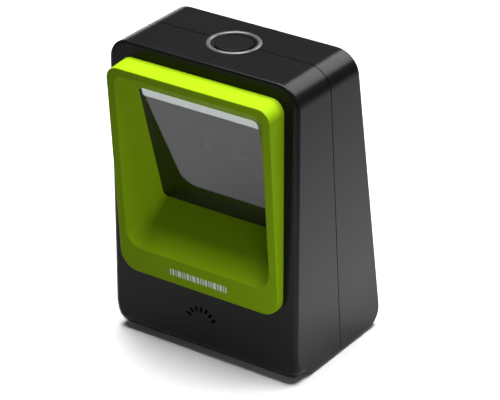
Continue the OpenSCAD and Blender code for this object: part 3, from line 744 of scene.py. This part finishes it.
def rear_shell():
    """The casing behind the seam, with screw holes, the socket's niche and the ring's room."""
    shell = half_casing("rear_shell_skin", "behind")
    combine(shell, inner_posts(), "UNION")
    combine(shell, seam_tongue(), "UNION")
    tools = foot_pockets()
    for x, z in SCREWS:
        seat = seam_y(z) + SCREW_SEAT
        tools += rod((x, z), COUNTERBORE_R, seat, 2 * DEPTH_BASE, BORE_STEPS)
        tools += rod((x, z), PILOT_R, seam_y(z) - SCREW_REACH, seat - 0.01)
    tools += prism(socket_outline(0), SOCKET_FACE - NICHE_D, 2 * DEPTH_BASE)
    combine(shell, solid("openings", tools), "DIFFERENCE")
    combine(shell, ring_hole(), "DIFFERENCE")
    room = post((0, BUTTON_Y), RING_ROOM_R, CEILING - RING_ROOM_D, CEILING)
    return combine(shell, solid("ring_room", room), "DIFFERENCE")


# ------------------------------------------------------------------ hood

def hood():
    """One moulding: a leaning rim, a funnel down to the window, its seat and a spigot."""
    lean = hood_lean()
    front_normal = Vector((0, -math.cos(lean), -math.sin(lean)))
    front_point = on_hood(0, 0, 0)
    rim = panel(HOOD_HALF, HOOD_Z[0] + HOOD_FALL[0], HOOD_Z[1] - HOOD_FALL[1], HOOD_TOP_R, HOOD_FOOT_R)
    rounded = [rim_ring(x, z, nx, nz, front_point, front_normal, HOOD_EDGE_R)
               for x, z, nx, nz in rim]
    loops = [[ring[k] for ring in rounded] for k in range(FILLET_STEPS + 1)]
    back = panel(HOOD_HALF, HOOD_Z[0], HOOD_Z[1], HOOD_TOP_R, HOOD_FOOT_R)
    loops.append([Vector((x, 0, z)) for x, z, _, _ in back])
    half, low, high, radius = SPIGOT
    for grow, y in ((0, 0), (0, SPIGOT_L), (-SPIGOT_WALL, SPIGOT_L), (-SPIGOT_WALL, SPIGOT_ROOT)):
        loops.append([Vector((x, y, z)) for x, z, _, _ in
                      panel(half + grow, low - grow, high + grow, radius + grow, radius + grow)])
    for grow, depth in ((SEAT_OUT, SEAT_D), (SEAT_IN, SEAT_D), (SEAT_IN, 0)):
        square = panel(PANE_HALF + grow, -PANE_HALF - grow, PANE_HALF + grow, 1, 1)
        loops.append([in_window(x, depth, z) for x, z, _, _ in square])
    pane = [in_window(x, 0, z) for x, z, _, _ in
            panel(PANE_HALF, -PANE_HALF, PANE_HALF, PANE_R, PANE_R)]
    mouth = panel(MOUTH_HALF, along_hood(MOUTH_Z[0]), along_hood(MOUTH_Z[1]), MOUTH_TOP_R, MOUTH_FOOT_R)
    edges = []
    for (x, z, nx, nz), inner in zip(mouth, pane):
        at = on_hood(x, 0, z)
        edges.append(round_corner(on_hood(x + nx, 0, z + nz), at, inner, MOUTH_EDGE_R))
    for i in range(FUNNEL_STEPS):
        loops.append([p.lerp(edge[-1], i / FUNNEL_STEPS) for p, edge in zip(pane, edges)])
    loops += [[edge[k] for edge in edges] for k in range(FILLET_STEPS, -1, -1)]
    return solid("hood_moulding", sleeve(loops, True))


# ------------------------------------------------------------------ button

def turned_outline(corners):
    """A profile whose corners are rounded: (radius, height, radius of rounding)."""
    points = [Vector((r, z)) for r, z, _ in corners]
    outline = []
    for i, (at, (_, _, rounding)) in enumerate(zip(points, corners)):
        if rounding:
            after = points[(i + 1) % len(points)]
            outline += round_corner(points[i - 1], at, after, rounding, TURNED_STEPS)
        else:
            outline.append(at)
    return [(p.x, p.y) for p in outline]


def button_ring():
    """The light ring, held from below by a flange."""
    profile = turned_outline([
        (RING_IN_R, CEILING - RING_FLANGE_D, 0), (RING_FLANGE_R, CEILING - RING_FLANGE_D, 0),
        (RING_FLANGE_R, CEILING, 0), (RING_R, CEILING, 0),
        (RING_R, RING_TOP, RING_ROUND), (RING_IN_R, RING_TOP, RING_ROUND)])
    return lathe("ring_light", profile, (0, BUTTON_Y))


def button_cap():
    """A flanged cup whose top is a shallow dish inside a rounded edge, with a stem below."""
    shares = [i / DISH_STEPS for i in range(DISH_STEPS + 1)]
    dish = [(AXIS_R + (CAP_R - DISH_EDGE) * t, CAP_TOP - DISH_FLOOR + DISH_RISE * t ** DISH_CURVE)
            for t in shares]
    flange_low = CAP_FLANGE_Z - CAP_FLANGE_T
    outer = turned_outline([
        (CAP_R - CAP_WALL, flange_low, 0), (CAP_R + CAP_FLANGE, flange_low, 0),
        (CAP_R + CAP_FLANGE, CAP_FLANGE_Z, 0), (CAP_R, CAP_FLANGE_Z, 0),
        (CAP_R, CAP_TOP, CAP_EDGE_R)])
    under = [(AXIS_R, CAP_STEM_Z), (CAP_STEM_R, CAP_STEM_Z), (CAP_STEM_R, CAP_TOP - CAP_TOP_T),
             (CAP_R - CAP_WALL, CAP_TOP - CAP_TOP_T)]
    inside = [p for p in reversed(dish) if p[0] < outer[-1][0] - 0.2]
    return lathe("button_cap_dished", under + outer + inside, (0, BUTTON_Y))


# ------------------------------------------------------------------ camera, floor and light

AZIMUTH = math.radians(34.43)
ELEVATION = math.radians(26.77)
DISTANCE = 1.14207
LOOK_AT = Vector((0, casing_low.y + 0.04308, 0.07420))
SENSOR_W = 36
FOCAL_LENGTH = 181.46
SHIFT = (-0.0151, -0.0511)
WORLD_LIGHT = 0.03
WORLD_SEEN = 1.0
FLOOR_SEEN = 0.80
FLOOR_BOUNCE = 0.14
FLOOR_MIRRORED = ((0.0, 0.64), (0.15, 1.0), (1.0, 0.36))
FLOOR_MIRROR_REACH = 0.2
FLOOR_R = 0.62
FLOOR_AT = (0.05, 0.15, 0)
# Name, position, what it is aimed at, width, height, radiance
SOFTBOXES = (
    ("top_box", (0.0, 0.08, 1.0), (0.0, 0.0, 0.0), 0.9, 0.6, 16.2),
    ("rear_box", (0.25, 0.95, 0.80), (0.0, 0.0, 0.1), 0.85, 0.55, 7.6),
    ("back_box", (-0.35, 1.1, 0.15), (0.0, 0.0, 0.08), 1.4, 0.2, 3.0),
    ("front_fill", (0.20, -0.16, 0.03), (0.0, -0.03, 0.06), 0.2, 0.05, 7.0),
)


def add_camera():
    """A long lens, from a little above and to the right."""
    data = bpy.data.cameras.new("camera")
    data.sensor_width = SENSOR_W
    data.lens = FOCAL_LENGTH
    data.shift_x, data.shift_y = SHIFT
    camera = bpy.data.objects.new("camera", data)
    bpy.context.scene.collection.objects.link(camera)
    back = Vector((math.sin(AZIMUTH) * math.cos(ELEVATION),
                   -math.cos(AZIMUTH) * math.cos(ELEVATION), math.sin(ELEVATION)))
    camera.location = LOOK_AT + back * DISTANCE
    camera.rotation_mode = "QUATERNION"
    camera.rotation_quaternion = (-back).to_track_quat("-Z", "Y")
    bpy.context.scene.camera = camera


def softbox(name, position, aim, width, height, radiance):
    """A rectangular light whose face has the given radiance."""
    data = bpy.data.lights.new(name, "AREA")
    data.shape = "RECTANGLE"
    data.size = width
    data.size_y = height
    data.energy = radiance * math.pi * width * height
    light = bpy.data.objects.new(name, data)
    bpy.context.scene.collection.objects.link(light)
    light.location = position
    light.rotation_mode = "QUATERNION"
    light.rotation_quaternion = (Vector(aim) - Vector(position)).to_track_quat("-Z", "Y")
    return light


def floor_paper():
    """White paper. Cameras see it light, diffuse bounces off it are held back, and what glossy
    pieces mirror grows from grey to white and falls off again from left to right."""
    made, nodes, links, shader = material("floor_paper")
    path = nodes.new("ShaderNodeLightPath")
    coords = nodes.new("ShaderNodeTexCoord")
    split = nodes.new("ShaderNodeSeparateXYZ")
    links.new(coords.outputs["Object"], split.inputs["Vector"])
    mirrored = nodes.new("ShaderNodeValToRGB")
    stops = mirrored.color_ramp.elements
    stops.new(FLOOR_MIRRORED[1][0])
    for stop, (share, bright) in zip(stops, FLOOR_MIRRORED):
        stop.position = share
        stop.color = (bright, bright, bright, 1)
    spread(nodes, links, split.outputs["X"], 0, 1, mirrored.inputs["Fac"], (0, FLOOR_MIRROR_REACH))
    seen = nodes.new("ShaderNodeMapRange")
    seen.inputs["To Max"].default_value = FLOOR_SEEN
    links.new(path.outputs["Is Camera Ray"], seen.inputs["Value"])
    links.new(mirrored.outputs["Color"], seen.inputs["To Min"])
    lit = nodes.new("ShaderNodeMapRange")
    lit.inputs["To Max"].default_value = FLOOR_BOUNCE
    links.new(path.outputs["Is Diffuse Ray"], lit.inputs["Value"])
    links.new(seen.outputs["Result"], lit.inputs["To Min"])
    links.new(lit.outputs["Result"], shader.inputs["Base Color"])
    shader.inputs["Roughness"].default_value = 0.7
    shader.inputs["Specular IOR Level"].default_value = 0.2
    return made


def add_floor():
    """The counter, a round sheet that reaches past the picture."""
    bm = bmesh.new()
    bmesh.ops.create_circle(bm, cap_ends=True, radius=FLOOR_R, segments=96)
    floor = from_bmesh("floor", bm)
    floor.location = FLOOR_AT
    floor.data.materials.append(floor_paper())


def add_world():
    """White behind the object for the camera, nearly dark for every other ray."""
    world = bpy.data.worlds.new("studio")
    world.use_nodes = True
    nodes, links = world.node_tree.nodes, world.node_tree.links
    path = nodes.new("ShaderNodeLightPath")
    strength = nodes.new("ShaderNodeMapRange")
    strength.inputs["To Min"].default_value = WORLD_LIGHT
    strength.inputs["To Max"].default_value = WORLD_SEEN
    links.new(path.outputs["Is Camera Ray"], strength.inputs["Value"])
    links.new(strength.outputs["Result"], nodes["Background"].inputs["Strength"])
    nodes["Background"].inputs["Color"].default_value = (1, 1, 1, 1)
    bpy.context.scene.world = world


def add_lights():
    """All the softboxes. The rear one only draws the highlight along the top corner, and the
    front one only lifts the hood, unseen in what the pieces mirror."""
    lights = {box[0]: softbox(*box) for box in SOFTBOXES}
    lights["rear_box"].visible_diffuse = False
    lights["front_fill"].visible_glossy = False


bpy.context.scene.view_settings.view_transform = "Standard"
add_camera()
add_floor()
add_world()
add_lights()

# ------------------------------------------------------------------ pieces

for build, node, body, slot, finish in (
        (front_shell, "front_shell", "casing", "casing_black", casing_finish),
        (rear_shell, "rear_shell", "casing", "casing_black", casing_finish),
        (hood, "hood_bezel", "casing", "hood_green", hood_finish),
        (button_ring, "button_ring", "casing", "ring_grey", ring_finish),
        (button_cap, "button_cap", "button", "cap_black", cap_finish)):
    piece = place(build(), finish)
    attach(piece, body)
    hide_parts(node)

SLOT_FINISH = {
    "print_grey": print_finish, "window_clear": glass_finish, "lens_coated": lens_finish,
    "seal_black": seal_finish, "foot_rubber": foot_finish, "inner_black": inner_finish,
    "diffuser_white": diffuser_painted_glow_finish, "board_green": board_finish, "led_body": led_finish,
    "chip_black": chip_finish, "aimer_red": aimer_finish, "bracket_steel": steel_finish,
    "screw_steel": screw_finish, "screw_black": black_screw_finish,
    "ballast_steel": ballast_finish, "contact_gold": gold_finish, "cone_paper": cone_finish,
    "cable_white": ribbon_finish, "lead_red": lead_finish, "ring_grey": ring_finish,
    "cap_black": cap_finish, "casing_black": casing_finish, "hood_green": hood_finish,
}
for subpart in frame["record"]["subparts"]:
    node = frame["nodes"][subpart["node"]]
    finish = SLOT_FINISH[subpart["material_slot"]]
    node.data.materials.clear()
    node.data.materials.append(finish)
